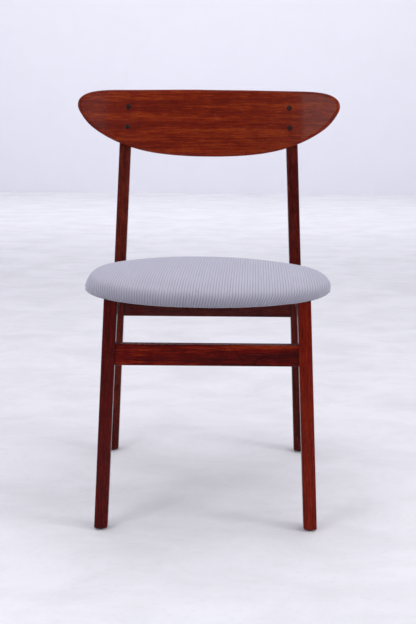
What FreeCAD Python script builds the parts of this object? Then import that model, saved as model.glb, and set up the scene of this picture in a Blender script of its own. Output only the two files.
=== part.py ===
import FreeCAD, Part
import math
import os

# Dining chair with a half-moon backrest and a padded seat.
# Millimetres. +Z is up, the chair faces -Y, and X = 0 is its plane of symmetry.
# The origin is on the floor, under the middle of the chair's box.
# "Left" and "right" are those of a person sitting on it, so left is +X.

Vector = FreeCAD.Vector

# ---- overall ----
chair_height = 782.3            # floor to the top edge of the backrest
foot_y = -228.2                 # front of the front feet, at the floor
glide_height = 3.0              # the wood of each foot ends this far above the floor

# ---- side frames: front leg, side rail and rear leg lie in one tilted plane ----
frame_thickness = 24.0          # across the plane
frame_x = 188.8                 # from the chair's middle to the frame's middle, at foot_y and z = 0
toe_angle = 2.38                # degrees: the frames run outwards towards the rear
splay_angle = 2.76              # degrees: the frames lean inwards towards the top
long_edge_round = 3.5
foot_chamfer = 2.6

# Side views below are in the frame's own plane: y back from foot_y, z up from the floor.
front_leg_lean = 0.1115         # set-back of the front edge per millimetre of height
front_foot_depth = 27.0
front_leg_top_depth = 38.0
rear_foot_y = 422.0             # front edge of the rear leg at the floor
rear_kink_y = 414.0             # front edge at the seat, where the leg turns into the post
rear_kink_z = 405.0
post_top_y = 456.0              # front edge at the top of the post
post_top_z = 768.0
rear_foot_depth = 27.0
rear_kink_depth = 38.0
post_top_depth = 23.0
kink_round = 260.0
post_top_round = 9.0

# ---- seat plane: the underside of the seat board, falling gently to the rear ----
seat_z = 415.7                  # height of the plane at foot_y
seat_slope = 1.6                # degrees
cover_thickness = 1.5           # the cover is turned in between the board and the rails

# ---- side rails ----
side_rail_height = 24.5
side_rail_haunch = 40.0         # radius of the curve from the rail down into each leg
haunch_tip_z = 364.0            # where the curve ends on the leg

# ---- front stretcher and rear rail ----
front_stretcher_z = (297.0, 334.5)
rear_rail_z = (305.5, 345.5)
cross_rail_thickness = 20.0
cross_rail_setback = 5.0        # behind the front edge of the legs
cross_rail_round = 2.5

# ---- dowels ----
dowel_radius = 4.0
dowel_in_leg = 15.0
dowel_in_rail = 20.0
dowel_end_gap = 1.0
cross_rail_dowel_spacing = 20.0
side_rail_dowel_drops = (8.0, 22.0)     # below the top of the rail

# ---- backrest ----
back_thickness = 13.0
back_radius = 600.0             # plan radius of the middle of the panel
back_rake = 7.0                 # degrees
back_height = 138.7
back_mid_y = 473.0              # middle of the panel's thickness at x = 0, behind foot_y
back_seat_drop = 50.0           # the posts are cut to the panel's bend from this far below its middle
back_edge_round = 5.2
# Half of the outline: distance from the middle, and drop below the top edge.
back_outline = [
    (0.0, 0.0), (90.0, 0.5), (175.0, 1.8), (230.0, 4.6), (254.0, 11.4), (266.5, 22.5), (269.0, 34.5),
    (263.0, 50.5), (249.0, 70.0), (224.5, 90.0), (193.0, 107.5), (143.0, 125.1), (75.0, 135.9),
    (0.0, 138.7),
]

# ---- the points of the screws and nails ----
screw_point = 3.0
screw_tip_radius = 0.3

# ---- backrest screws, two into each post, and the plugs over them ----
back_screw_z = (705.5, 746.2)
back_screw_inset = 4.0          # nearer the chair's middle than the middle of the post
plug_radius = 5.6
plug_dome = 2.0
plug_depth = 3.8
plug_bore_depth = 7.0
back_screw_head_radius = 4.0
back_screw_head = 2.6
back_screw_rim = 1.0            # straight edge of the countersunk head
back_screw_radius = 1.75
back_screw_length = 24.0
back_screw_clearance = 2.0

# ---- seat ----
board_thickness = 9.0
board_inset = 12.0
seat_dome_y = 236.0             # where the dome is furthest from the seat plane, behind foot_y
seat_dome_z = 450.3             # height of the dome there; its top is a little further forward
seat_dome_radius = 1890.0
seat_top_round = 18.0
seat_bottom_round = 6.0
border_width = 62.0             # the cover's border under the board
cloth_inset = 64.0
cloth_thickness = 0.6

# ---- the seat's outline in plan: half a superellipse in front of its widest line and half behind ----
seat_half_width = 232.6
seat_middle_y = 190.0           # the widest line, behind foot_y; the outline is drawn in towards its middle
seat_front_y = -31.2
seat_rear_y = 406.5
seat_front_power = 2.09         # 2 is an ellipse, more is squarer
seat_rear_power = 2.96
seat_outline_steps = 10         # points along each quarter

# ---- seat screws, up through the side rails ----
seat_screw_y = (130.0, 300.0)
seat_screw_radius = 2.25
seat_screw_clearance = 2.6
seat_screw_in_board = 7.5
seat_screw_head_radius = 4.4
seat_screw_head = 3.0
seat_screw_head_bevel = 1.2
washer_radius = 7.0
washer_thickness = 1.2
seat_screw_grip = side_rail_height + cover_thickness

# ---- staples ----
staple_width = 10.0
staple_wire = 0.9
staple_leg = 6.0
cover_staple_count = 44
cover_staple_inset = 20.0
cloth_staple_count = 22
cloth_staple_inset = 72.0

# ---- glides ----
glide_radius = 7.0
glide_round = 1.0
nail_radius = 1.1
nail_head_radius = 2.6
nail_head = 1.0
nail_head_z = 1.2
nail_length = 17.0

# ---- blocks used only to cut with ----
wide = 1200.0                   # more than the chair's width or depth
below_floor = -8.0              # the legs are drawn to here, then cut level

half_thickness = frame_thickness / 2.0
seat_fall = math.tan(math.radians(seat_slope))


def save(name, shape):
    """Write one node."""
    shape.exportStep(os.path.join("parts", name + ".step"))


def group(shapes):
    """Several separate solids in one node."""
    return Part.makeCompound(shapes)


def mirrored(shape):
    """The same piece on the other side of the chair."""
    return shape.mirror(Vector(0, 0, 0), Vector(1, 0, 0))


def both_sides(shapes):
    return group(shapes + [mirrored(shape) for shape in shapes])


def cylinder(radius, start, end):
    """A round bar between two points."""
    run = end - start
    return Part.makeCylinder(radius, run.Length, start, run)


def rounded_face(corners, plane):
    """A face with the given corners (a, b, radius), each rounded; plane turns (a, b) into a point."""
    points = [plane(a, b) for a, b, radius in corners]
    starts = []
    ends = []
    edges = []
    for index, (a, b, radius) in enumerate(corners):
        corner = points[index]
        back = (points[index - 1] - corner).normalize()
        ahead = (points[(index + 1) % len(points)] - corner).normalize()
        if radius == 0:
            starts.append(corner)
            ends.append(corner)
            continue
        half_angle = back.getAngle(ahead) / 2.0
        reach = radius / math.tan(half_angle)
        start = corner + back * reach
        end = corner + ahead * reach
        bisector = (back + ahead).normalize()
        middle = corner + bisector * (radius / math.sin(half_angle) - radius)
        edges.append(Part.Arc(start, middle, end).toShape())
        starts.append(start)
        ends.append(end)
    for index in range(len(points)):
        line_end = starts[(index + 1) % len(points)]
        if (line_end - ends[index]).Length > 0.001:
            edges.append(Part.LineSegment(ends[index], line_end).toShape())
    return Part.Face(Part.Wire(Part.__sortEdges__(edges)))


# ---- the side frame's plane ----

def in_frame(shape):
    """Place a shape drawn in the left side frame's own plane (x across, y back, z up)."""
    placed = shape.copy()
    placed.rotate(Vector(0, 0, 0), Vector(0, 1, 0), -splay_angle)
    placed.rotate(Vector(0, 0, 0), Vector(0, 0, 1), -toe_angle)
    placed.translate(Vector(frame_x, foot_y, 0))
    return placed


def frame_middle_x(y, z):
    """X of the left frame's middle plane, y behind foot_y and z above the floor."""
    lean = math.tan(math.radians(splay_angle)) / math.cos(math.radians(toe_angle))
    return frame_x + math.tan(math.radians(toe_angle)) * y - lean * z


def front_edge_of_front_leg(z):
    return front_leg_lean * z


def back_edge_of_front_leg(z):
    taper = (front_leg_top_depth - front_foot_depth) / seat_z
    return front_foot_depth + (front_leg_lean + taper) * z


def front_edge_of_rear_leg(z):
    """Below the kink."""
    return rear_foot_y + (rear_kink_y - rear_foot_y) * z / rear_kink_z


def front_edge_of_post(z):
    """Above the kink."""
    return rear_kink_y + (post_top_y - rear_kink_y) * (z - rear_kink_z) / (post_top_z - rear_kink_z)


def seat_plane_z(y):
    return seat_z - seat_fall * y


def rail_top_z(y):
    return seat_plane_z(y) - cover_thickness


def rail_bottom_z(y):
    return rail_top_z(y) - side_rail_height


def frame_piece(corners):
    """A board of the frame's thickness, with the given side view."""
    face = rounded_face(corners, lambda y, z: Vector(-half_thickness, y, z))
    return face.extrude(Vector(frame_thickness, 0, 0))


def with_long_edges_rounded(board):
    """Round the long edges of a leg that lie in its two side faces."""
    edges = []
    for edge in board.Edges:
        box = edge.BoundBox
        in_side_face = box.XLength < 0.01
        upright = box.ZLength > 40.0
        if in_side_face and upright:
            edges.append(edge)
    return board.makeFillet(long_edge_round, edges)


def with_foot_trimmed(leg):
    """Cut a placed leg level at its foot and ease the edges of the cut."""
    depth = glide_height - below_floor + frame_thickness
    leg = leg.cut(Part.makeBox(wide, wide, depth, Vector(-wide / 2, -wide / 2, glide_height - depth)))
    edges = []
    for edge in leg.Edges:
        box = edge.BoundBox
        if box.ZMax < glide_height + 0.01:
            edges.append(edge)
    return leg.makeChamfer(foot_chamfer, edges)


def above_rails():
    """Everything above the plane that the seat rests on."""
    block = Part.makeBox(wide, wide, frame_thickness, Vector(-wide / 2, -wide / 2, -cover_thickness))
    return on_seat_plane(block)


def make_front_leg():
    top_y = front_edge_of_front_leg(seat_z)
    corners = [
        (front_edge_of_front_leg(below_floor), below_floor, 0),
        (top_y, seat_z, 0),
        (back_edge_of_front_leg(seat_z), seat_z, 0),
        (back_edge_of_front_leg(below_floor), below_floor, 0),
    ]
    leg = in_frame(with_long_edges_rounded(frame_piece(corners)))
    return with_foot_trimmed(leg).cut(above_rails())


def make_rear_leg():
    """The rear leg and its post are one piece, kinked at the seat."""
    corners = [
        (front_edge_of_rear_leg(below_floor), below_floor, 0),
        (rear_kink_y, rear_kink_z, kink_round),
        (post_top_y, post_top_z, post_top_round),
        (post_top_y + post_top_depth, post_top_z, post_top_round),
        (rear_kink_y + rear_kink_depth, rear_kink_z, kink_round),
        (rear_foot_y + rear_foot_depth, below_floor, 0),
    ]
    return with_foot_trimmed(in_frame(with_long_edges_rounded(frame_piece(corners))))


def make_side_rail():
    """A low rail whose lower edge curves down into both legs."""
    front_y = back_edge_of_front_leg(seat_z)
    rear_y = front_edge_of_rear_leg(rear_kink_z)
    front_tip_y = back_edge_of_front_leg(haunch_tip_z)
    rear_tip_y = front_edge_of_rear_leg(haunch_tip_z)
    blank = frame_piece([
        (front_tip_y, haunch_tip_z, 0),
        (front_y, seat_z, 0),
        (rear_y, seat_z, 0),
        (rear_tip_y, haunch_tip_z, 0),
    ])
    front_corner_y = back_edge_of_front_leg(rail_bottom_z(front_y))
    rear_corner_y = front_edge_of_rear_leg(rail_bottom_z(rear_y))
    low_z = haunch_tip_z - side_rail_haunch
    opening = frame_piece([
        (back_edge_of_front_leg(low_z), low_z, 0),
        (front_corner_y, rail_bottom_z(front_corner_y), side_rail_haunch),
        (rear_corner_y, rail_bottom_z(rear_corner_y), side_rail_haunch),
        (front_edge_of_rear_leg(low_z), low_z, 0),
    ])
    return in_frame(blank.cut(opening)).cut(above_rails())


def make_cross_rail(front_edge, z_range):
    """A flat rail between the two side frames, parallel to the front edge of the legs."""
    low_z, high_z = z_range
    low_y = foot_y + front_edge(low_z) + cross_rail_setback
    high_y = foot_y + front_edge(high_z) + cross_rail_setback
    reach = frame_x + frame_thickness       # past both side frames, then cut back to them
    corners = [
        (low_y, low_z, cross_rail_round),
        (high_y, high_z, cross_rail_round),
        (high_y + cross_rail_thickness, high_z, cross_rail_round),
        (low_y + cross_rail_thickness, low_z, cross_rail_round),
    ]
    rail = rounded_face(corners, lambda y, z: Vector(-reach, y, z)).extrude(Vector(2 * reach, 0, 0))
    outside = in_frame(Part.makeBox(wide, wide, wide, Vector(-half_thickness, -wide / 2, -wide / 2)))
    return rail.cut(outside).cut(mirrored(outside))


# ---- dowels ----

def frame_point(x, y, z):
    """A point of the left frame's own plane, in the chair's coordinates."""
    return in_frame(Part.Vertex(x, y, z)).Point


def dowel(joint, into_leg):
    """A dowel across a joint face at the given point, and the slightly longer hole for it."""
    into_leg = into_leg.normalize()
    leg_end = joint + into_leg * dowel_in_leg
    rail_end = joint - into_leg * dowel_in_rail
    hole_leg_end = leg_end + into_leg * dowel_end_gap
    hole_rail_end = rail_end - into_leg * dowel_end_gap
    return cylinder(dowel_radius, rail_end, leg_end), cylinder(dowel_radius, hole_rail_end, hole_leg_end)


def side_rail_dowels(edge_of_leg, direction):
    """Two dowels between the side rail and a leg; direction is +1 or -1 along the frame."""
    pairs = []
    for drop in side_rail_dowel_drops:
        z = rail_top_z(edge_of_leg(seat_z)) - drop
        joint = frame_point(0, edge_of_leg(z), z)
        inside = frame_point(0, edge_of_leg(z) + direction, z)
        pairs.append(dowel(joint, inside - joint))
    return pairs


def cross_rail_dowels(front_edge, z_range):
    """Two dowels between a cross rail and the left leg."""
    pairs = []
    middle_z = sum(z_range) / 2.0
    half_spacing = cross_rail_dowel_spacing / 2.0
    for z in (middle_z - half_spacing, middle_z + half_spacing):
        y = front_edge(z) + cross_rail_setback + cross_rail_thickness / 2.0
        joint = Vector(frame_middle_x(y, z) - half_thickness, foot_y + y, z)
        pairs.append(dowel(joint, Vector(1, 0, 0)))
    return pairs


def drilled(shape, pairs):
    """The shape with the dowels' holes cut in it."""
    return shape.cut([hole for bar, hole in pairs])


def drilled_at_both_ends(rail, pairs):
    """A cross rail with the dowels' holes cut in both ends."""
    return drilled(drilled(rail, pairs), [(mirrored(bar), mirrored(hole)) for bar, hole in pairs])


# ---- backrest ----

def back_up():
    """Direction of the axis that the panel is bent around: upright, leaning back by the rake."""
    rake = math.radians(back_rake)
    return Vector(0, math.sin(rake), math.cos(rake))


def back_outward(across):
    """Direction from that axis towards the panel; across is the sine of the angle from its middle."""
    up = back_up()
    along = math.sqrt(1 - across ** 2)
    return Vector(across, along * up.z, -along * up.y)


def back_axis_point():
    middle = Vector(0, foot_y + back_mid_y, chair_height - back_height / 2.0)
    return middle - back_outward(0) * back_radius


def back_tube(radius, low, high):
    """The full cylinder around the panel's axis, from low to high along it."""
    return Part.makeCylinder(radius, high - low, back_axis_point() + back_up() * low, back_up())


def back_outline_face():
    """The half-moon outline, upright in front of the chair."""
    right = [Vector(x, foot_y, chair_height - drop) for x, drop in back_outline]
    left = [Vector(-point.x, point.y, point.z) for point in right[-2:0:-1]]
    curve = Part.BSplineCurve()
    curve.interpolate(Points=right + left, PeriodicFlag=True)
    return Part.Face(Part.Wire(curve.toShape()))


def make_backrest():
    outline = back_outline_face().extrude(Vector(0, wide, 0))
    outer = back_tube(back_radius + back_thickness / 2.0, -back_height, back_height)
    inner = back_tube(back_radius - back_thickness / 2.0, -back_height, back_height)
    panel = outline.common(outer.cut(inner))
    rims = [edge for edge in panel.Edges if edge.Length > back_height]
    return panel.makeFillet(back_edge_round, rims)


def back_screw_line(z):
    """Where a backrest screw enters the panel's front face, and its direction into the post."""
    face_radius = back_radius - back_thickness / 2.0
    across = frame_middle_x(front_edge_of_post(z), z) - back_screw_inset
    outward = back_outward(across / face_radius)
    axis = back_axis_point()
    rise = (z - axis.z - outward.z * face_radius) / back_up().z
    return axis + back_up() * rise + outward * face_radius, outward


def turned(profile, start, direction):
    """A solid of revolution: profile is a list of (distance along, radius) from start."""
    points = [Vector(radius, 0, along) for along, radius in profile]
    closed = [Vector(0, 0, profile[0][0])] + points + [Vector(0, 0, profile[-1][0])]
    closed.append(closed[0])
    solid = Part.Face(Part.makePolygon(closed)).revolve(Vector(0, 0, 0), Vector(0, 0, 1), 360)
    solid.Placement = FreeCAD.Placement(start, FreeCAD.Rotation(Vector(0, 0, 1), direction))
    return solid


def make_back_screw(start, direction):
    head_start = plug_bore_depth - back_screw_head
    profile = [
        (head_start, back_screw_head_radius),
        (head_start + back_screw_rim, back_screw_head_radius),
        (plug_bore_depth, back_screw_radius),
        (head_start + back_screw_length - screw_point, back_screw_radius),
        (head_start + back_screw_length, screw_tip_radius),
    ]
    return turned(profile, start, direction)


def make_plug(start, direction):
    """A round plug with a domed face that stands proud of the panel."""
    ball_radius = (plug_radius ** 2 + plug_dome ** 2) / (2 * plug_dome)
    half_turn = math.asin(plug_radius / ball_radius) / 2.0
    apex = Vector(0, 0, -plug_dome)
    shoulder = Vector(ball_radius * math.sin(half_turn), 0,
                      ball_radius * (1 - math.cos(half_turn)) - plug_dome)
    rim = Vector(plug_radius, 0, 0)
    foot = Vector(plug_radius, 0, plug_depth)
    foot_middle = Vector(0, 0, plug_depth)
    edges = [
        Part.Arc(apex, shoulder, rim).toShape(),
        Part.LineSegment(rim, foot).toShape(),
        Part.LineSegment(foot, foot_middle).toShape(),
        Part.LineSegment(foot_middle, apex).toShape(),
    ]
    plug = Part.Face(Part.Wire(edges)).revolve(Vector(0, 0, 0), Vector(0, 0, 1), 360)
    plug.Placement = FreeCAD.Placement(start, FreeCAD.Rotation(Vector(0, 0, 1), direction))
    return plug


# ---- seat ----

def superellipse_quarter(far_y, power):
    """Points from the tip at far_y, on the chair's middle, round to the widest line."""
    quarter = []
    for step in range(seat_outline_steps):
        turn = math.radians(90.0 * step / seat_outline_steps)
        x = seat_half_width * math.sin(turn) ** (2 / power)
        y = seat_middle_y + (far_y - seat_middle_y) * math.cos(turn) ** (2 / power)
        quarter.append((x, y))
    return quarter


def seat_outline():
    """Half of the outline, from the front tip to the rear: distance from the middle, and behind foot_y."""
    front = superellipse_quarter(seat_front_y, seat_front_power)
    rear = superellipse_quarter(seat_rear_y, seat_rear_power)
    return front + [(seat_half_width, seat_middle_y)] + rear[::-1]


def seat_wire(inset, z):
    """The seat's outline drawn in by inset, at the given height."""
    points = []
    for x, y in seat_outline():
        reach = math.hypot(x, y - seat_middle_y)
        scale = (reach - inset) / reach
        points.append(Vector(x * scale, foot_y + seat_middle_y + (y - seat_middle_y) * scale, z))
    other_half = [Vector(-point.x, point.y, point.z) for point in points[-2:0:-1]]
    curve = Part.BSplineCurve()
    curve.interpolate(Points=points + other_half, PeriodicFlag=True)
    return Part.Wire(curve.toShape())


def on_seat_plane(shape):
    """Tilt a shape drawn on z = 0 onto the seat plane."""
    tilted = shape.copy()
    pivot = Vector(0, foot_y, 0)
    tilted.rotate(pivot, Vector(1, 0, 0), -seat_slope)
    tilted.translate(Vector(0, 0, seat_z))
    return tilted


def seat_slab(inset, low, high):
    """A slab of the seat's outline, from low to high above the seat plane."""
    return Part.Face(seat_wire(inset, low)).extrude(Vector(0, 0, high - low))


def rim_edges(block, low, wanted_low):
    """The long edges around a seat block: its lower rim, or the upper one."""
    rim = []
    for edge in block.Edges:
        is_low = edge.BoundBox.ZMax < low + 0.01
        if edge.Length > seat_middle_y and is_low == wanted_low:
            rim.append(edge)
    return rim


def seat_block(skin, low):
    """The seat's domed block from low above the seat plane, drawn in by skin from the cover's outside."""
    dome_top = seat_dome_z - seat_plane_z(seat_dome_y) - skin
    ball_centre = Vector(0, foot_y + seat_dome_y, dome_top - seat_dome_radius)
    slab = seat_slab(skin, low, dome_top + seat_top_round)
    block = slab.common(Part.makeSphere(seat_dome_radius, ball_centre))
    block = block.makeFillet(seat_top_round - skin, rim_edges(block, low, False))
    return block.makeFillet(seat_bottom_round - skin, rim_edges(block, low, True))


def seat_screw_seats():
    """For each left seat screw, the point on the rail's lower face and the direction up the frame."""
    seats = []
    for y in seat_screw_y:
        point = frame_point(0, y, rail_bottom_z(y))
        above = frame_point(0, y + math.sin(math.radians(seat_slope)),
                            rail_bottom_z(y) + math.cos(math.radians(seat_slope)))
        seats.append((point, (above - point).normalize()))
    return seats


def make_seat_screw(point, up):
    start = point - up * (washer_thickness + seat_screw_head)
    shank_end = seat_screw_head + washer_thickness + seat_screw_grip + seat_screw_in_board
    profile = [
        (0.0, seat_screw_head_radius - seat_screw_head_bevel),
        (seat_screw_head_bevel, seat_screw_head_radius),
        (seat_screw_head, seat_screw_head_radius),
        (seat_screw_head, seat_screw_radius),
        (shank_end - screw_point, seat_screw_radius),
        (shank_end, screw_tip_radius),
    ]
    return turned(profile, start, up)


def make_washer(point, up):
    low = point - up * washer_thickness
    return cylinder(washer_radius, low, point).cut(cylinder(seat_screw_clearance, low, point))


def make_staple(point, direction, surface_z):
    """A staple driven up from surface_z, lying along direction; drawn above the seat plane's z = 0."""
    low = surface_z - staple_wire
    crown = Part.makeBox(staple_width, staple_wire, staple_wire)
    first_leg = Part.makeBox(staple_wire, staple_wire, staple_wire + staple_leg)
    second_leg = first_leg.translated(Vector(staple_width - staple_wire, 0, 0))
    staple = crown.fuse([first_leg, second_leg]).removeSplitter()
    staple.translate(Vector(-staple_width / 2.0, -staple_wire / 2.0, 0))
    turn = FreeCAD.Rotation(Vector(1, 0, 0), direction)
    staple.Placement = FreeCAD.Placement(Vector(point.x, point.y, low), turn).multiply(staple.Placement)
    return staple.Solids[0]


def clear_of_frames(point):
    """True where a staple wouldn't be pinched between the board and a side frame."""
    y = point.y - foot_y
    middle = frame_middle_x(y, seat_plane_z(y))
    return abs(abs(point.x) - middle) > (frame_thickness + staple_width) / 2.0 + staple_wire


def staples_along(inset, count, surface_z):
    """Staples spaced evenly around the seat, on the seat plane."""
    wire = seat_wire(inset, 0.0)
    edge = wire.Edges[0]
    staples = []
    for parameter_point in edge.discretize(Number=count + 1)[:-1]:
        parameter = edge.Curve.parameter(parameter_point)
        direction = edge.tangentAt(parameter).normalize()
        if clear_of_frames(parameter_point):
            staples.append(on_seat_plane(make_staple(parameter_point, direction, surface_z)))
    return staples


# ---- glides ----

def glide_centres():
    """Middles of the two left feet, on the floor."""
    front_y = (front_edge_of_front_leg(0) + back_edge_of_front_leg(0)) / 2.0
    rear_y = rear_foot_y + rear_foot_depth / 2.0
    return [Vector(frame_middle_x(y, 0), foot_y + y, 0) for y in (front_y, rear_y)]


def make_nail(centre):
    profile = [
        (nail_head_z, nail_head_radius),
        (nail_head_z + nail_head, nail_head_radius),
        (nail_head_z + nail_head, nail_radius),
        (nail_head_z + nail_length - screw_point, nail_radius),
        (nail_head_z + nail_length, screw_tip_radius),
    ]
    return turned(profile, centre, Vector(0, 0, 1))


def make_glide(centre):
    """A disc under the foot, with the nail's head sunk in it."""
    disc = Part.makeCylinder(glide_radius, glide_height, centre)
    rim = []
    for edge in disc.Edges:
        if edge.BoundBox.ZMax < 0.01:
            rim.append(edge)
    disc = disc.makeFillet(glide_round, rim)
    recess = Part.makeCylinder(nail_head_radius, nail_head_z, centre)
    return disc.cut(recess).cut(make_nail(centre))


# ---- build ----

front_leg = make_front_leg()
rear_leg = make_rear_leg()
side_rail = make_side_rail()
front_stretcher = make_cross_rail(front_edge_of_front_leg, front_stretcher_z)
rear_rail = make_cross_rail(front_edge_of_rear_leg, rear_rail_z)
backrest = make_backrest()

# The face of the post is cut to the bend of the panel that it carries.
rear_leg = rear_leg.cut(back_tube(back_radius + back_thickness / 2.0, -back_seat_drop, back_height))

front_joint = side_rail_dowels(back_edge_of_front_leg, -1)
rear_joint = side_rail_dowels(front_edge_of_rear_leg, 1)
stretcher_joint = cross_rail_dowels(front_edge_of_front_leg, front_stretcher_z)
rear_rail_joint = cross_rail_dowels(front_edge_of_rear_leg, rear_rail_z)
front_leg = drilled(front_leg, front_joint + stretcher_joint)
rear_leg = drilled(rear_leg, rear_joint + rear_rail_joint)
side_rail = drilled(side_rail, front_joint + rear_joint)
front_stretcher = drilled_at_both_ends(front_stretcher, stretcher_joint)
rear_rail = drilled_at_both_ends(rear_rail, rear_rail_joint)

back_screws = []
plugs = []
for screw_z in back_screw_z:
    screw_start, screw_direction = back_screw_line(screw_z)
    back_screws.append(make_back_screw(screw_start, screw_direction))
    plugs.append(make_plug(screw_start, screw_direction))
    hole_start = screw_start - screw_direction * plug_dome
    hole_end = screw_start + screw_direction * (back_thickness + plug_dome)
    bore = cylinder(plug_radius, hole_start, screw_start + screw_direction * plug_bore_depth)
    through = cylinder(back_screw_clearance, hole_start, hole_end)
    backrest = backrest.cut([bore, through, mirrored(bore), mirrored(through)])
rear_leg = rear_leg.cut(back_screws)

seat_screws = [make_seat_screw(point, up) for point, up in seat_screw_seats()]
washers = [make_washer(point, up) for point, up in seat_screw_seats()]
screw_holes = []
for point, up in seat_screw_seats():
    hole_start = point - up * washer_thickness
    screw_holes.append(cylinder(seat_screw_clearance, hole_start, point + up * seat_screw_grip))
side_rail = side_rail.cut(screw_holes)

nails = [make_nail(centre) for centre in glide_centres()]
glides = [make_glide(centre) for centre in glide_centres()]
front_leg = front_leg.cut(nails[0])
rear_leg = rear_leg.cut(nails[1])

cover_staples = staples_along(cover_staple_inset, cover_staple_count, -cover_thickness)
cloth_staples = staples_along(cloth_staple_inset, cloth_staple_count, -cloth_thickness)
all_seat_screws = seat_screws + [mirrored(screw) for screw in seat_screws]
all_screw_holes = screw_holes + [mirrored(hole) for hole in screw_holes]

board = on_seat_plane(seat_slab(board_inset, 0.0, board_thickness))
cover_outside = on_seat_plane(seat_block(0.0, -cover_thickness))
cover_inside = on_seat_plane(seat_block(cover_thickness, 0.0))
mouth = on_seat_plane(seat_slab(border_width, -2 * cover_thickness, cover_thickness))
foam = cover_inside.cut(board)
cover = cover_outside.cut([cover_inside, mouth])
cloth = on_seat_plane(seat_slab(cloth_inset, -cloth_thickness, 0.0))
board = board.cut(all_seat_screws + cover_staples + cloth_staples)
cover = cover.cut(all_screw_holes + cover_staples)
cloth = cloth.cut(cloth_staples)

save("front_leg_left", front_leg)
save("front_leg_right", mirrored(front_leg))
save("rear_leg_left", rear_leg)
save("rear_leg_right", mirrored(rear_leg))
save("side_rail_left", side_rail)
save("side_rail_right", mirrored(side_rail))
save("front_stretcher", front_stretcher)
save("rear_rail", rear_rail)
save("backrest", backrest)
save("side_rail_front_dowels", both_sides([bar for bar, hole in front_joint]))
save("side_rail_rear_dowels", both_sides([bar for bar, hole in rear_joint]))
save("front_stretcher_dowels", both_sides([bar for bar, hole in stretcher_joint]))
save("rear_rail_dowels", both_sides([bar for bar, hole in rear_rail_joint]))
save("backrest_screws", both_sides(back_screws))
save("backrest_plugs", both_sides(plugs))
save("seat_board", board)
save("seat_foam", foam)
save("seat_cover", cover)
save("seat_bottom_cloth", cloth)
save("cover_staples", group(cover_staples))
save("cloth_staples", group(cloth_staples))
save("seat_screws", both_sides(seat_screws))
save("seat_screw_washers", both_sides(washers))
save("foot_glides", both_sides(glides))
save("glide_nails", both_sides(nails))
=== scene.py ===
import math

import bmesh
import bpy
import numpy as np
from mathutils import Matrix, Vector
from mathutils.bvhtree import BVHTree


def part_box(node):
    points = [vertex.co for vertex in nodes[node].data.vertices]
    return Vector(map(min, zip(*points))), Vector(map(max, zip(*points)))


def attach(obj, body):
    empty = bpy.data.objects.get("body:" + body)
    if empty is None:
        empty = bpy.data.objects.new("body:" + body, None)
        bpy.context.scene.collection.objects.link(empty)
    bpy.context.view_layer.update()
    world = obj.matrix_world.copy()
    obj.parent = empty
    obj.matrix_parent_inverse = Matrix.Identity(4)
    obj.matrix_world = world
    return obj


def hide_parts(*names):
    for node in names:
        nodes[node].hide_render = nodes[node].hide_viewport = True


# Dining chair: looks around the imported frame. Metres, +Z up, the chair faces -Y.
# The wood, the board and the fittings keep their CAD shapes and get materials. The seat's cover with its
# foam, and the cloth under the board, are replaced by soft pieces made here.

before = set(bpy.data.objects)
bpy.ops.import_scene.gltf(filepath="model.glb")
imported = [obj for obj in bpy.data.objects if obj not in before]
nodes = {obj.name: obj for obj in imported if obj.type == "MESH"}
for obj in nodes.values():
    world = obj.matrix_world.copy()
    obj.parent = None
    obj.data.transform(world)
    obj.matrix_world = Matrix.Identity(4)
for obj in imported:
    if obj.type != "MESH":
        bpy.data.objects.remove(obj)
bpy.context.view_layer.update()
scene = bpy.context.scene

# ---- the pad under the seat's cover ----
seat_slope = math.radians(1.6)          # the seat plane falls to the rear
voxel_size = 0.005
rim_softening = 14                      # rounds of averaging, which make the foam's rim rounder
start_inset = 0.0003                    # the pad starts this much smaller
swell_pressure = 4.0
swell_frames = 20
swell_cap = 0.0035                      # furthest that a point may move
swell_smoothing = 60                    # rounds of averaging, which take the folds out of the swelling
held_height = 0.004                     # points lower than this above the seat plane stay where they are

# ---- how the pad is traced ----
ray_reach = 0.5                         # rays from outside start this far from the middle
above_seat = 1.0                        # rays from above start at this height
outline_reach = 0.2                     # rough distance from the middle to the outline
outline_count = 720                     # points on the outline
normal_reach = 3                        # a normal is taken from this many points to each side
hub_inset = 0.022                       # the edge's profile is traced from this far inside the outline
hub_height = 0.012                      # and this far above the seat plane
fan_step = 3                            # degrees between the rays round the edge
under_step = 0.004                      # spacing of the rays under the board
mouth_inset = 0.062                     # inner edge of the border under the board
profile_step = 0.001

# ---- the seat's cover ----
cover_thickness = 0.0015
rib_pitch = 0.00485                     # from one cord of the fabric to the next
rib_depth = 0.0008
rib_turn = math.radians(-2.6)           # the fabric is laid slightly askew
rib_stops = (0.0, 0.12, 0.3, 0.5, 0.7, 0.88)    # points across one cord, as shares of the pitch
rib_sinks = (1.0, 0.6, 0.12, 0.0, 0.12, 0.6)    # how far down into the groove each of them is
row_fine = 0.0020                       # spacing of points along the cords over the front and rear edges
row_coarse = 0.0055                     # and on the top
sheet_margin = 0.02                     # the flat sheet is laid out this much too wide, then cut
overlap_rows = 1.6                      # so many rows beyond the cut are kept, and drawn back onto it
chunk_size = 4000                       # points handled at once, to save memory
cap_height = 0.002                      # the closed form ends this far up inside the board
pad_lean = 0.012                        # the padding is a little thicker on the sitter's right
pad_shift = 0.0032                      # and sits this far over to the left
pad_lean_height = 0.018                 # both grow to their full size over this height

# ---- the cloth under the board ----
cloth_thickness = 0.0006
cloth_rings = 26
cloth_edge_rings = [0.985, 0.997, 1.0]  # the last rings, as shares of the way to the edge
cloth_spokes = 176
cloth_slack = 0.0012                    # how far it hangs down in the middle
cloth_slack_power = 4
cloth_puckers = 22                      # as many as there are staples
cloth_pucker_depth = 0.0008
cloth_pucker_start = 0.8                # share of the way to the edge where the puckers begin

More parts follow.
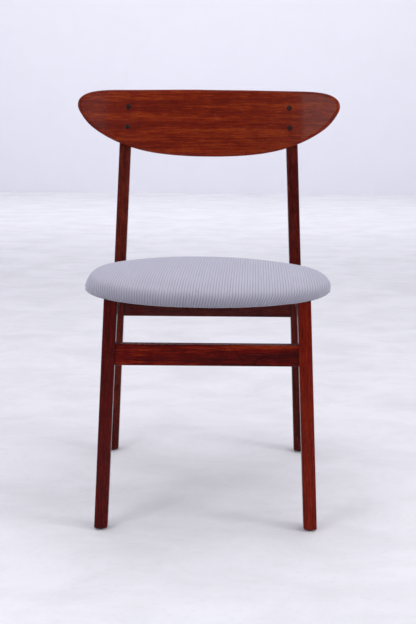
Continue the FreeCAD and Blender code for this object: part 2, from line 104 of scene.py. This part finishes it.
# ---- woods: dark, middle and light tone, in linear colour ----
woods = {
    "front_leg_right": ((0.026, 0.0006, 0.0004), (0.066, 0.0018, 0.0012), (0.120, 0.006, 0.0030)),
    "front_leg_left": ((0.060, 0.0015, 0.0002), (0.145, 0.0055, 0.0006), (0.215, 0.017, 0.0012)),
    "rear_leg_right": ((0.031, 0.0009, 0.0005), (0.088, 0.0075, 0.0035), (0.155, 0.022, 0.0085)),
    "rear_leg_left": ((0.024, 0.0006, 0.0004), (0.068, 0.0035, 0.0020), (0.130, 0.013, 0.0050)),
    "side_rail_right": ((0.034, 0.0010, 0.0004), (0.090, 0.0050, 0.0020), (0.160, 0.018, 0.0060)),
    "side_rail_left": ((0.034, 0.0010, 0.0004), (0.090, 0.0050, 0.0020), (0.160, 0.018, 0.0060)),
    "front_stretcher": ((0.040, 0.0006, 0.0002), (0.122, 0.0020, 0.0003), (0.290, 0.030, 0.0012)),
    "rear_rail": ((0.026, 0.0016, 0.0012), (0.070, 0.0060, 0.0045), (0.120, 0.014, 0.0080)),
    "backrest": ((0.085, 0.0038, 0.0004), (0.158, 0.0092, 0.0006), (0.275, 0.036, 0.0035)),
}
plug_tones = ((0.014, 0.004, 0.003), (0.026, 0.008, 0.006), (0.050, 0.017, 0.013))
beech_tones = ((0.40, 0.25, 0.13), (0.58, 0.40, 0.24))
plywood_tones = ((0.36, 0.23, 0.12), (0.55, 0.39, 0.23))

noise_range = (0.3, 0.7)                # most of a noise lies between these

# Layers of the wood's tone: noise scale along and across the grain, detail, roughness, distortion, share.
wood_layers = {
    "bands": ((2.2, 48, 48), 4.0, 0.55, 0.6, 0.32),
    "streaks": ((14, 560, 560), 3.0, 0.7, 0.3, 0.38),
    "flecks": ((60, 520, 520), 2.0, 0.6, 0.2, 0.18),
    "figure": ((26, 34, 34), 3.0, 0.6, 0.8, 0.12),
}
pore_scale = (170, 2300, 2300)
pore_range = (0.58, 0.68)               # pores begin at the first value of their noise, full at the second
pore_most = 0.75
tone_stops = (0.41, 0.5, 0.60)          # where the dark, middle and light tones lie in the noise
pore_tone = 0.35                        # a pore's colour, as a share of the dark tone
gloss_below = 0.05                      # the lacquer's roughness varies by this much
gloss_above = 0.09
wood_offset_step = (0.37, 0.11, 0.23)   # gives each piece its own stretch of the grain
backrest_radius = 0.6                   # the backrest's bend in plan

# ---- fittings and fabrics, in linear colour ----
steel_tones = ((0.42, 0.42, 0.43), (0.66, 0.66, 0.66))
nylon_tones = ((0.008, 0.007, 0.006), (0.024, 0.020, 0.018))
dust_cloth_tones = ((0.012, 0.012, 0.013), (0.05, 0.05, 0.052))
cord_groove = (0.17, 0.165, 0.205)
cord_side = (0.32, 0.31, 0.38)
cord_crown = (0.42, 0.41, 0.49)
cord_fluff = (0.26, 0.25, 0.31)
cord_patch = (0.52, 0.51, 0.60)
# painted shade: the colour that the cover's low edge is darkened towards
cord_painted_shade = (0.14, 0.135, 0.165)
cord_sheen = (0.87, 0.87, 1.0, 1.0)
painted_shade_heights = (0.404, 0.444)           # painted shade: the cover is darkest at the first height, and has none from the second up
painted_shade_most = 0.80

# ---- camera ----
camera_lens = 57.69                     # millimetres, on a sensor 36 mm wide
camera_sensor = 36.0
camera_x = -0.0009
camera_distance = 1.6808                # in front of the front legs' feet
camera_height = 0.753
camera_yaw = math.radians(-0.07)
camera_dip = math.radians(11.75)        # it looks down by this much
camera_roll = math.radians(0.5)
glide_setback = 0.0065                  # from a front foot's front face back to its glide

# ---- stage and lights ----
stage_reach = 12.0                      # the floor and the wall go this far each way
wall_y = 6.75
wall_height = 5
floor_paint = ((0.86, 0.855, 0.90), (0.90, 1.0))     # colour, and its darkest and lightest shade
wall_paint = ((0.86, 0.855, 0.93), (0.985, 1.0))
room_colour = (0.93, 0.93, 1.0, 1.0)
room_strength = (0.36, 0.86)            # of the room's light from the front, and from the back
room_turn = (-0.9, 0.1)                 # it changes between these, where -1 is the front and 1 the back
warm = (1.0, 0.99, 0.98)

# Each lamp's place, target, width, height, power and colour.
# The two front lamps show in the gloss at the ends of the backrest.
lamps = {
    "overhead": ((0.0, 0.3, 3.2), (0, 0, 0), 5.0, 5.0, 38, warm),
    "right": ((2.4, -0.9, 1.7), (0, 0, 0.6), 0.8, 1.8, 20, warm),
    "front_left": ((-1.65, -1.8, 1.45), (0.1, 0.24, 0.7), 0.9, 1.6, 13, warm),
    "front_right": ((1.65, -1.8, 1.45), (-0.1, 0.24, 0.7), 0.6, 1.6, 4, warm),
    "wall_light": ((0.0, 4.3, 2.6), (0, wall_y, 0.7), 8.0, 1.5, 66, (1.0, 1.0, 1.0)),
}


# ---- materials ----

def set_ranges(node, source_range, target_range):
    """Set the two ranges of a Map Range node."""
    for key, number in zip(("From Min", "From Max", "To Min", "To Max"), source_range + target_range):
        node.inputs[key].default_value = number


class Nodes:
    """A short way to build a material's node tree."""

    def __init__(self, name):
        self.material = bpy.data.materials.new(name)
        self.material.use_nodes = True
        self.tree = self.material.node_tree
        self.shader = self.tree.nodes["Principled BSDF"]

    def node(self, kind, **values):
        made = self.tree.nodes.new(kind)
        for key, value in values.items():
            setattr(made, key, value)
        return made

    def link(self, output, target):
        self.tree.links.new(output, target)

    def feed(self, output, socket):
        """Link an output to one of the shader's sockets."""
        self.link(output, self.shader.inputs[socket])

    def set(self, **values):
        """Set the shader's own sockets. An underscore stands for a space in the socket's name."""
        for key, value in values.items():
            self.shader.inputs[key.replace("_", " ")].default_value = value

    def object_position(self):
        return self.node("ShaderNodeTexCoord").outputs["Object"]

    def coordinates(self, scale, rotation=(0, 0, 0), location=(0, 0, 0), source=None):
        """A position, on the object unless a source is given, turned, moved and stretched."""
        if source is None:
            source = self.object_position()
        turned = self.node("ShaderNodeMapping")
        turned.inputs["Rotation"].default_value = rotation
        turned.inputs["Location"].default_value = location
        self.link(source, turned.inputs["Vector"])
        stretched = self.node("ShaderNodeVectorMath", operation="MULTIPLY")
        stretched.inputs[1].default_value = scale
        self.link(turned.outputs["Vector"], stretched.inputs[0])
        return stretched.outputs["Vector"]

    def noise(self, coordinates, detail=3.0, roughness=0.5, distortion=0.0):
        made = self.node("ShaderNodeTexNoise")
        made.inputs["Scale"].default_value = 1.0
        made.inputs["Detail"].default_value = detail
        made.inputs["Roughness"].default_value = roughness
        made.inputs["Distortion"].default_value = distortion
        self.link(coordinates, made.inputs["Vector"])
        return made.outputs["Fac"]

    def ramp(self, value, positions, colours):
        """Each colour at its position along the value, and blends in between."""
        made = self.node("ShaderNodeValToRGB")
        elements = made.color_ramp.elements
        while len(elements) < len(positions):
            elements.new(0.5)
        for element, position, colour in zip(elements, positions, colours):
            element.position = position
            element.color = (*colour, 1.0)
        self.link(value, made.inputs["Fac"])
        return made.outputs["Color"]

    def span(self, value, source_range, target_range):
        """A value brought from one range to another, and held inside it."""
        made = self.node("ShaderNodeMapRange")
        set_ranges(made, source_range, target_range)
        self.link(value, made.inputs["Value"])
        return made.outputs["Result"]

    def math(self, operation, first, second):
        made = self.node("ShaderNodeMath", operation=operation)
        for index, value in enumerate((first, second)):
            if isinstance(value, (int, float)):
                made.inputs[index].default_value = value
            else:
                self.link(value, made.inputs[index])
        return made.outputs["Value"]

    def mix(self, factor, first, second):
        """Two colours mixed. A Mix node's colours are its inputs 6 and 7, and its output 2."""
        made = self.node("ShaderNodeMix", data_type="RGBA", blend_type="MIX")
        self.link(factor, made.inputs[0])
        self.link(first, made.inputs[6])
        made.inputs[7].default_value = (*second, 1.0)
        return made.outputs[2]

    def bump(self, height, distance, strength=1.0):
        made = self.node("ShaderNodeBump")
        made.inputs["Strength"].default_value = strength
        made.inputs["Distance"].default_value = distance
        self.link(height, made.inputs["Height"])
        self.feed(made.outputs["Normal"], "Normal")


def straightened(made, radius):
    """The position on a panel bent to a radius, with what the bend takes off Y put back."""
    parts = made.node("ShaderNodeSeparateXYZ")
    made.link(made.object_position(), parts.inputs["Vector"])
    squared = made.math("MULTIPLY", parts.outputs["X"], parts.outputs["X"])
    straight_y = made.math("ADD", parts.outputs["Y"], made.math("DIVIDE", squared, 2 * radius))
    joined = made.node("ShaderNodeCombineXYZ")
    made.link(parts.outputs["X"], joined.inputs["X"])
    made.link(straight_y, joined.inputs["Y"])
    made.link(parts.outputs["Z"], joined.inputs["Z"])
    return joined.outputs["Vector"]


def wood(name, tones, direction, offset, bend_radius=None, roughness=0.27, coat=0.06):
    """Lacquered wood: broad bands, fine streaks and pores along the grain, and a faint cross figure."""
    made = Nodes(name)
    source = straightened(made, bend_radius) if bend_radius else None
    turn = tuple(Vector(direction).rotation_difference(Vector((1, 0, 0))).to_euler())
    layers = {}
    tone = 0.0
    for layer, (scale, detail, uneven, distortion, share) in wood_layers.items():
        layers[layer] = made.noise(made.coordinates(scale, turn, offset, source), detail, uneven, distortion)
        tone = made.math("ADD", tone, made.math("MULTIPLY", layers[layer], share))
    colour = made.ramp(tone, tone_stops, tones)
    pores = made.noise(made.coordinates(pore_scale, turn, offset, source), detail=2.0)
    pore_mask = made.span(pores, pore_range, (0.0, pore_most))
    colour = made.mix(pore_mask, colour, tuple(channel * pore_tone for channel in tones[0]))
    made.feed(colour, "Base Color")
    uneven_gloss = (roughness - gloss_below, roughness + gloss_above)
    made.feed(made.span(layers["figure"], noise_range, uneven_gloss), "Roughness")
    made.set(Specular_IOR_Level=0.08, Coat_Weight=coat, Coat_Roughness=0.08)
    raised = made.math("MULTIPLY", layers["streaks"], 0.5)
    made.bump(made.math("SUBTRACT", raised, pore_mask), distance=0.00012)
    return made.material


def plain_wood(name, tones):
    """Unfinished wood, for dowels and the board."""
    made = Nodes(name)
    streaks = made.noise(made.coordinates((30, 30, 900)), roughness=0.6, distortion=0.2)
    made.feed(made.ramp(streaks, (0.35, 0.65), tones), "Base Color")
    made.set(Roughness=0.7, Specular_IOR_Level=0.3)
    made.bump(streaks, distance=0.0001)
    return made.material


def steel():
    """Bright steel with fine scratches."""
    made = Nodes("steel")
    scratches = made.noise(made.coordinates((600, 900, 4000)), detail=2.0)
    made.feed(made.ramp(scratches, noise_range, steel_tones), "Base Color")
    made.feed(made.span(scratches, noise_range, (0.25, 0.45)), "Roughness")
    made.set(Metallic=1.0)
    return made.material


def nylon():
    """Black moulded nylon with a fine grain."""
    made = Nodes("nylon")
    grain = made.noise(made.coordinates((1500, 1500, 1500)), detail=2.0)
    made.feed(made.ramp(grain, noise_range, nylon_tones), "Base Color")
    made.feed(made.span(grain, noise_range, (0.45, 0.65)), "Roughness")
    made.bump(grain, distance=0.0001)
    return made.material


def corduroy():
    """Grey-lavender cord: the pile is lighter on the crowns, thin in the grooves, and darker low down as
    painted shade.
    """
    made = Nodes("corduroy")
    crown = made.node("ShaderNodeAttribute", attribute_name="cord").outputs["Fac"]
    fluff = made.noise(made.coordinates((1700, 700, 1700)), roughness=0.6)
    patches = made.noise(made.coordinates((24, 16, 24)))
    pile = made.ramp(crown, (0.0, 0.45, 1.0), (cord_groove, cord_side, cord_crown))
    pile = made.mix(made.span(fluff, noise_range, (0.0, 0.25)), pile, cord_fluff)
    pile = made.mix(made.span(patches, (0.35, 0.65), (0.0, 0.10)), pile, cord_patch)
    position = made.node("ShaderNodeSeparateXYZ")
    made.link(made.object_position(), position.inputs["Vector"])
    # Painted shade: the pile is darkened towards the cover's low edge, standing in for the shade there.
    low_painted_shade = made.span(position.outputs["Z"], painted_shade_heights, (painted_shade_most, 0.0))
    pile = made.mix(low_painted_shade, pile, cord_painted_shade)
    made.feed(pile, "Base Color")
    made.set(Roughness=0.95, Specular_IOR_Level=0.08)
    made.set(Sheen_Weight=0.8, Sheen_Roughness=0.5, Sheen_Tint=cord_sheen)
    made.bump(fluff, distance=0.0004, strength=0.5)
    return made.material


def dust_cloth():
    """Thin black cloth with a plain weave."""
    made = Nodes("dust_cloth")
    weave = made.noise(made.coordinates((2600, 300, 2600)), detail=2.0)
    cross = made.noise(made.coordinates((300, 2600, 2600)), detail=2.0)
    threads = made.math("MAXIMUM", weave, cross)
    made.feed(made.ramp(threads, (0.4, 0.7), dust_cloth_tones), "Base Color")
    made.set(Roughness=0.9, Specular_IOR_Level=0.15)
    made.bump(threads, distance=0.0003)
    return made.material


def stage_paint(name, colour, shades):
    """Pale matt paint with faint clouds and specks."""
    made = Nodes(name)
    clouds = made.noise(made.coordinates((4.0, 6.5, 4.0)), detail=8.0, roughness=0.68, distortion=0.5)
    specks = made.noise(made.coordinates((70, 90, 70)), roughness=0.6, distortion=0.3)
    speck_mask = made.span(specks, (0.56, 0.70), (0, 1))
    mottle = made.math("SUBTRACT", clouds, made.math("MULTIPLY", speck_mask, 0.10))
    tint = made.node("ShaderNodeVectorMath", operation="SCALE")
    tint.inputs[0].default_value = colour
    made.link(made.span(mottle, (0.35, 0.6), shades), tint.inputs["Scale"])
    made.feed(tint.outputs["Vector"], "Base Color")
    made.set(Roughness=0.75, Specular_IOR_Level=0.2)
    return made.material


def dress(node, material):
    """Give a CAD node one material."""
    data = nodes[node].data
    data.materials.clear()
    data.materials.append(material)


def long_direction(node):
    """Direction of the longest spread of a node's points."""
    points = np.array([vertex.co for vertex in nodes[node].data.vertices])
    spread = np.linalg.svd(points - points.mean(axis=0), full_matrices=False)[2]
    return tuple(spread[0])


def dress_wood():
    """Each piece of wood gets its own tones, and its grain runs along it."""
    for index, (node, tones) in enumerate(woods.items()):
        name = "wood_" + node
        offset = tuple(step * index for step in wood_offset_step)
        if node == "backrest":
            material = wood(name, tones, (1, 0, 0), offset, backrest_radius, roughness=0.3, coat=0.16)
        else:
            material = wood(name, tones, long_direction(node), offset)
        dress(node, material)


def dress_fittings():
    dress("backrest_plugs", wood("wood_plugs", plug_tones, (0, 1, 0), (0, 0, 0)))
    dress("seat_board", plain_wood("plywood", plywood_tones))
    dress("foot_glides", nylon())
    beech = plain_wood("beech", beech_tones)
    for node in ("side_rail_front_dowels", "side_rail_rear_dowels",
                 "front_stretcher_dowels", "rear_rail_dowels"):
        dress(node, beech)
    metal = steel()
    for node in ("backrest_screws", "cover_staples", "cloth_staples", "seat_screws",
                 "seat_screw_washers", "glide_nails"):
        dress(node, metal)


# ---- meshes ----

def make_object(name, points, faces):
    data = bpy.data.meshes.new(name)
    data.from_pydata([tuple(point) for point in points], [], faces)
    data.update()
    made = bpy.data.objects.new(name, data)
    scene.collection.objects.link(made)
    return made


def shade_smooth(data):
    data.polygons.foreach_set("use_smooth", [True] * len(data.polygons))


def evaluated_copy(piece, name):
    """The piece's mesh with its modifiers applied."""
    graph = bpy.context.evaluated_depsgraph_get()
    graph.update()
    data = bpy.data.meshes.new_from_object(piece.evaluated_get(graph))
    data.name = name
    return data


def mesh_points(data):
    flat = np.zeros(len(data.vertices) * 3)
    data.vertices.foreach_get("co", flat)
    return flat.reshape(-1, 3)


def set_points(data, points):
    data.vertices.foreach_set("co", points.ravel())
    data.update()


def point_normals(data):
    return np.array([vertex.normal for vertex in data.vertices])


def smoothed(data, values, rounds, free):
    """Values at the points of a mesh, averaged with their neighbours over and over where they are free."""
    flat = np.zeros(len(data.edges) * 2, int)
    data.edges.foreach_get("vertices", flat)
    first, second = flat.reshape(-1, 2).T
    count = np.bincount(flat, minlength=len(values))
    for _ in range(rounds):
        around = np.stack([np.bincount(first, column[second], len(values))
                           + np.bincount(second, column[first], len(values))
                           for column in values.T], axis=1)
        values = np.where(free, (values + around / count[:, None]) / 2.0, values)
    return values


def surface_of(piece):
    return BVHTree.FromObject(piece, bpy.context.evaluated_depsgraph_get())


def hit(tree, start, direction):
    """Where a ray meets the surface."""
    found = tree.ray_cast(Vector(start), Vector(direction))[0]
    if found is None:
        raise RuntimeError("a ray missed the seat")
    return np.array(found)


# ---- the seat's planes and middle ----

cover_low, cover_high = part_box("seat_cover")
seat_middle = Vector((0.0, (cover_low.y + cover_high.y) / 2.0, 0.0))
board_points = mesh_points(nodes["seat_board"].data)
front_corner = np.argmin(board_points[:, 1] + board_points[:, 2])       # lowest and furthest to the front
board_front_y, board_front_z = board_points[front_corner, 1:]


def seat_plane_z(y):
    """Height of the underside of the board, which is flat and falls to the rear."""
    return board_front_z - math.tan(seat_slope) * (y - board_front_y)


# ---- the pad ----

def joined_pad():
    """The foam and its board as one closed mesh of even small faces."""
    pad = bpy.data.objects.new("pad", nodes["seat_foam"].data.copy())
    scene.collection.objects.link(pad)
    board = bpy.data.objects.new("pad_board", nodes["seat_board"].data.copy())
    scene.collection.objects.link(board)
    with bpy.context.temp_override(active_object=pad, selected_editable_objects=[pad, board]):
        bpy.ops.object.join()
    remesh = pad.modifiers.new("remesh", "REMESH")
    remesh.mode = "VOXEL"
    remesh.voxel_size = voxel_size
    pad.data = evaluated_copy(pad, "pad")
    pad.modifiers.clear()
    return pad


def simulated_points(pad, free):
    """The pad's points after a short cloth simulation under pressure, with its underside held."""
    group = pad.vertex_groups.new(name="held")
    group.add([int(index) for index in np.nonzero(~free[:, 0])[0]], 1.0, "REPLACE")
    cloth = pad.modifiers.new("swell", "CLOTH")
    cloth.settings.vertex_group_mass = "held"
    cloth.settings.use_pressure = True
    cloth.settings.uniform_pressure_force = swell_pressure
    cloth.settings.effector_weights.gravity = 0.0
    cloth.point_cache.frame_start = 1
    cloth.point_cache.frame_end = swell_frames
    for number in range(1, swell_frames + 1):
        scene.frame_set(number)
    swollen = mesh_points(evaluated_copy(pad, "swollen"))
    pad.modifiers.clear()
    scene.frame_set(1)
    return swollen


def swollen_pad():
    """The pad with its rim softened, then swollen outwards by as much as the simulation gives."""
    pad = joined_pad()
    points = mesh_points(pad.data)
    height = points[:, 2] - seat_plane_z(points[:, 1])
    free = (height >= held_height)[:, None]
    rounded = smoothed(pad.data, points, rim_softening, free)
    set_points(pad.data, rounded)
    normals = point_normals(pad.data)
    start = rounded - normals * start_inset * free
    set_points(pad.data, start)
    swell = np.full((len(points), 1), swell_cap)
    swell = ((simulated_points(pad, free) - start) * normals).sum(axis=1, keepdims=True)
    swell = np.clip(swell, 0.0, swell_cap)
    swell = smoothed(pad.data, swell, swell_smoothing, free)
    set_points(pad.data, start + normals * swell * free)
    return pad


def trace_outline(tree):
    """The pad's outline in plan, anticlockwise, and its outward normals."""
    points = []
    for index in range(outline_count):
        angle = 2 * math.pi * index / outline_count
        direction = Vector((math.cos(angle), math.sin(angle), 0))
        start = seat_middle + Vector((0, 0, seat_plane_z(seat_middle.y) + hub_height))
        start.z -= math.sin(angle) * math.tan(seat_slope) * outline_reach
        points.append(hit(tree, start + direction * ray_reach, -direction)[:2])
    points = np.array(points)
    ahead = np.roll(points, -normal_reach, axis=0) - np.roll(points, normal_reach, axis=0)
    normals = np.stack([ahead[:, 1], -ahead[:, 0]], axis=1)
    normals /= np.linalg.norm(normals, axis=1, keepdims=True)
    return points, normals


def trace_profiles(tree, outline, normals):
    """For each outline point, the edge's profile from the top, round the side and in under the board.
    Rows of points at equal steps of length, starting hub_inset inside the outline."""
    profiles = []
    for point, normal in zip(outline, normals):
        hub = point - normal * hub_inset
        hub_z = seat_plane_z(hub[1]) + hub_height
        trail = []
        for degrees in range(90, -91, -fan_step):
            angle = math.radians(degrees)
            direction = (normal[0] * math.cos(angle), normal[1] * math.cos(angle), math.sin(angle))
            trail.append(hit(tree, (hub[0], hub[1], hub_z), direction))
        for inset in np.arange(hub_inset, mouth_inset + under_step, under_step)[1:]:
            low = point - normal * inset
            trail.append(hit(tree, (low[0], low[1], hub_z), (0, 0, -1)))
        trail = np.array(trail)
        steps = np.linalg.norm(np.diff(trail, axis=0), axis=1)
        lengths = np.concatenate([[0.0], np.cumsum(steps)])
        profiles.append((lengths, trail))
    shortest = min(lengths[-1] for lengths, trail in profiles)
    even = np.arange(0.0, shortest, profile_step)
    table = np.zeros((len(profiles), len(even), 3))
    for index, (lengths, trail) in enumerate(profiles):
        for axis in range(3):
            table[index, :, axis] = np.interp(even, lengths, trail[:, axis])
    return table


# ---- the seat's cover ----

def sheet_rows(low, high):
    """Positions along the cords: close together over the front and rear edges, wider on the top."""
    rows = [low]
    while rows[-1] < high:
        near_edge = rows[-1] < cover_low.y + hub_inset or rows[-1] > cover_high.y - hub_inset
        rows.append(rows[-1] + (row_fine if near_edge else row_coarse))
    return np.array(rows)


def flat_sheet(furthest):
    """The cord laid out flat, with a line of points along each stop of each cord: the points, line by
    line, how far into a groove each one sinks, and the numbers of lines and of points in a line."""
    count = int((cover_high.x + furthest + sheet_margin) / rib_pitch) + 1
    across = np.array([(index + stop) * rib_pitch for index in range(-count, count) for stop in rib_stops])
    sinks = rib_sinks * (2 * count)
    along = sheet_rows(cover_low.y - furthest - sheet_margin, cover_high.y + furthest + sheet_margin)
    grid = np.stack(np.meshgrid(across, along, indexing="ij"), axis=2).reshape(-1, 2)
    turn = np.array([[math.cos(rib_turn), -math.sin(rib_turn)],
                     [math.sin(rib_turn), math.cos(rib_turn)]])
    middle = np.array([0.0, seat_middle.y])
    sheet = (grid - middle) @ turn.T + middle
    return sheet, np.repeat(sinks, len(along)), len(across), len(along)


def nearest_on_outline(sheet, outline, normals):
    """For each point of the sheet, where along the outline it is nearest, and how far outside."""
    place = np.zeros(len(sheet))
    outside = np.zeros(len(sheet))
    ahead = np.roll(outline, -1, axis=0) - outline
    for start in range(0, len(sheet), chunk_size):
        chunk = sheet[start:start + chunk_size]
        away = chunk[:, None, :] - outline[None, :, :]
        nearest = np.argmin((away ** 2).sum(axis=2), axis=1)
        rest = away[np.arange(len(chunk)), nearest]
        step = ahead[nearest]
        share = (rest * step).sum(axis=1) / (step ** 2).sum(axis=1)
        share = np.clip(share, -1.0, 1.0)
        place[start:start + chunk_size] = (nearest + share) % len(outline)
        outside[start:start + chunk_size] = (rest * normals[nearest]).sum(axis=1)
    return place, outside


def laid_on_pad(tree, table, sheet, place, outside):
    """Where the sheet's points lie on the pad: straight down onto the top, and round the edge along the
    traced profiles, between the two that are nearest."""
    points = np.zeros((len(sheet), 3))
    top = outside <= -hub_inset
    for index in np.nonzero(top)[0]:
        x, y = sheet[index]
        points[index] = hit(tree, (x, y, above_seat), (0, 0, -1))
    edge = ~top
    step = (outside[edge] + hub_inset) / profile_step
    low_step = np.minimum(step.astype(int), table.shape[1] - 2)
    step_share = (step - low_step)[:, None]
    low_place = place[edge].astype(int) % outline_count
    high_place = (low_place + 1) % outline_count
    place_share = (place[edge] % 1.0)[:, None]
    near = table[low_place, low_step] * (1 - step_share) + table[low_place, low_step + 1] * step_share
    far = table[high_place, low_step] * (1 - step_share) + table[high_place, low_step + 1] * step_share
    points[edge] = near * (1 - place_share) + far * place_share
    return points


def sheet_faces(lines, rows):
    """Four-sided faces between the lines of the flat sheet."""
    corner = np.arange(lines - 1)[:, None] * rows + np.arange(rows - 1)[None, :]
    corner = corner.ravel()
    return np.stack([corner, corner + rows, corner + rows + 1, corner + 1], axis=1)


def leaned(points):
    """The cover's points with the padding thicker to one side and a little off the middle."""
    moved = points.copy()
    height = points[:, 2] - seat_plane_z(points[:, 1])
    padding = np.clip(height / pad_lean_height, 0.0, 1.0)
    moved[:, 2] -= pad_lean * points[:, 0] * padding
    moved[:, 0] += pad_shift * padding
    return moved


def close_mouth(cushion):
    """Turn the cover's cut edge up against the board, and close the form inside the board."""
    work = bmesh.new()
    work.from_mesh(cushion.data)
    rim = [edge for edge in work.edges if edge.is_boundary]
    turned = bmesh.ops.extrude_edge_only(work, edges=rim)["geom"]
    corners = [item for item in turned if isinstance(item, bmesh.types.BMVert)]
    for corner in corners:
        corner.co.z = seat_plane_z(corner.co.y) + cap_height
    open_edges = [edge for edge in work.edges if edge.is_boundary]
    cap = bmesh.ops.holes_fill(work, edges=open_edges, sides=0)["faces"]
    bmesh.ops.poke(work, faces=cap)
    bmesh.ops.recalc_face_normals(work, faces=work.faces)
    work.to_mesh(cushion.data)
    work.free()


def make_cushion():
    """The cover: a flat sheet of cord laid over the pad and turned in under it, closed by a cap that
    lies inside the board."""
    pad = swollen_pad()
    tree = surface_of(pad)
    outline, normals = trace_outline(tree)
    table = trace_profiles(tree, outline, normals)
    furthest = (table.shape[1] - 1) * profile_step - hub_inset

    sheet, sinks, lines, rows = flat_sheet(furthest)
    place, outside = nearest_on_outline(sheet, outline, normals)
    kept = outside < furthest + overlap_rows * row_fine
    outside = np.minimum(outside, furthest)
    faces = sheet_faces(lines, rows)
    faces = faces[kept[faces].all(axis=1) & (outside[faces] < furthest).any(axis=1)]
    used = np.zeros(len(sheet), bool)
    used[faces.ravel()] = True
    number = np.cumsum(used) - 1

    points = laid_on_pad(tree, table, sheet[used], place[used], outside[used])
    cushion = make_object("seat_cushion", points, number[faces].tolist())
    groove = sinks[used]
    rise = cover_thickness - groove[:, None] * rib_depth
    set_points(cushion.data, leaned(points + point_normals(cushion.data) * rise))
    cord = cushion.data.attributes.new("cord", "FLOAT", "POINT")
    cord.data.foreach_set("value", 1.0 - groove)
    shade_smooth(cushion.data)
    close_mouth(cushion)
    bpy.data.objects.remove(pad)
    cushion.data.materials.append(corduroy())
    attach(cushion, "root")
    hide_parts("seat_cover", "seat_foam")


# ---- the cloth under the board ----

def make_bottom_cloth():
    """Thin cloth stapled flat to the board's underside, slack in the middle, with puckers at its edge."""
    box_low, box_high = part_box("seat_bottom_cloth")
    tree = surface_of(nodes["seat_bottom_cloth"])
    middle_y = (box_low.y + box_high.y) / 2.0
    centre = Vector((0.0, middle_y, seat_plane_z(middle_y) - cloth_thickness / 2.0))
    rings = [index / cloth_rings for index in range(1, cloth_rings)] + cloth_edge_rings
    points = [centre - Vector((0, 0, cloth_slack))]
    for ring in rings:
        slack = cloth_slack * (1 - ring ** cloth_slack_power)
        near_edge = max(0.0, (ring - cloth_pucker_start) / (1 - cloth_pucker_start)) * (ring < 1.0)
        for index in range(cloth_spokes):
            angle = 2 * math.pi * index / cloth_spokes
            direction = Vector((math.cos(angle), math.sin(angle), -math.sin(angle) * math.tan(seat_slope)))
            edge = Vector(hit(tree, centre + direction * ray_reach, -direction))
            pucker = cloth_pucker_depth * (0.5 + 0.5 * math.cos(cloth_puckers * angle))
            drop = slack + pucker * near_edge
            points.append(centre + (edge - centre) * ring - Vector((0, 0, drop)))
    faces = [(1 + (index + 1) % cloth_spokes, 1 + index, 0) for index in range(cloth_spokes)]
    for ring in range(len(rings) - 1):
        start = 1 + ring * cloth_spokes
        for index in range(cloth_spokes):
            after = (index + 1) % cloth_spokes
            faces.append((start + after, start + cloth_spokes + after,
                          start + cloth_spokes + index, start + index))
    cloth = make_object("bottom_cloth", points, faces)
    shade_smooth(cloth.data)
    cloth.data.materials.append(dust_cloth())
    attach(cloth, "root")
    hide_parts("seat_bottom_cloth")


# ---- stage, lights and camera ----

def make_backdrop(name, low_edge, high_edge, paint):
    """A painted rectangle as wide as the stage, between two edges given as (y, z)."""
    corners = [(-stage_reach, *low_edge), (stage_reach, *low_edge),
               (stage_reach, *high_edge), (-stage_reach, *high_edge)]
    backdrop = make_object(name, corners, [(0, 1, 2, 3)])
    backdrop.data.materials.append(stage_paint(name + "_paint", *paint))
    return backdrop


def make_stage():
    floor = make_backdrop("floor", (-stage_reach, 0), (stage_reach, 0), floor_paint)
    wall = make_backdrop("wall", (wall_y, 0), (wall_y, wall_height), wall_paint)


def make_room():
    """Light from all round, weaker from the front."""
    world = bpy.data.worlds.new("studio")
    world.use_nodes = True
    tree = world.node_tree
    background = tree.nodes["Background"]
    background.inputs["Color"].default_value = room_colour
    position = tree.nodes.new("ShaderNodeTexCoord")
    parts = tree.nodes.new("ShaderNodeSeparateXYZ")
    shade = tree.nodes.new("ShaderNodeMapRange")
    set_ranges(shade, room_turn, room_strength)
    tree.links.new(position.outputs["Generated"], parts.inputs["Vector"])
    tree.links.new(parts.outputs["Y"], shade.inputs["Value"])
    tree.links.new(shade.outputs["Result"], background.inputs["Strength"])
    scene.world = world


def make_lamps():
    """Large soft lamps, and one that washes the wall."""
    for name, (place, target, width, height, power, colour) in lamps.items():
        light = bpy.data.lights.new(name, "AREA")
        light.shape = "RECTANGLE"
        light.size = width
        light.size_y = height
        light.energy = power
        light.color = colour
        lamp = bpy.data.objects.new(name, light)
        lamp.location = place
        lamp.rotation_euler = (Vector(target) - Vector(place)).to_track_quat("-Z", "Y").to_euler()
        scene.collection.objects.link(lamp)


def make_camera():
    """Straight from the front, at the height of the backrest, looking down."""
    foot_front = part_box("foot_glides")[0].y - glide_setback
    data = bpy.data.cameras.new("camera")
    data.lens = camera_lens
    data.sensor_width = camera_sensor
    camera = bpy.data.objects.new("camera", data)
    place = Matrix.Translation((camera_x, foot_front - camera_distance, camera_height))
    yaw = Matrix.Rotation(camera_yaw, 4, "Z")
    pitch = Matrix.Rotation(math.pi / 2 - camera_dip, 4, "X")
    roll = Matrix.Rotation(camera_roll, 4, "Z")
    camera.matrix_world = place @ yaw @ pitch @ roll
    scene.collection.objects.link(camera)
    scene.camera = camera


scene.view_settings.view_transform = "Standard"
make_camera()
make_stage()
make_room()
make_lamps()
dress_wood()
dress_fittings()
make_cushion()
make_bottom_cloth()
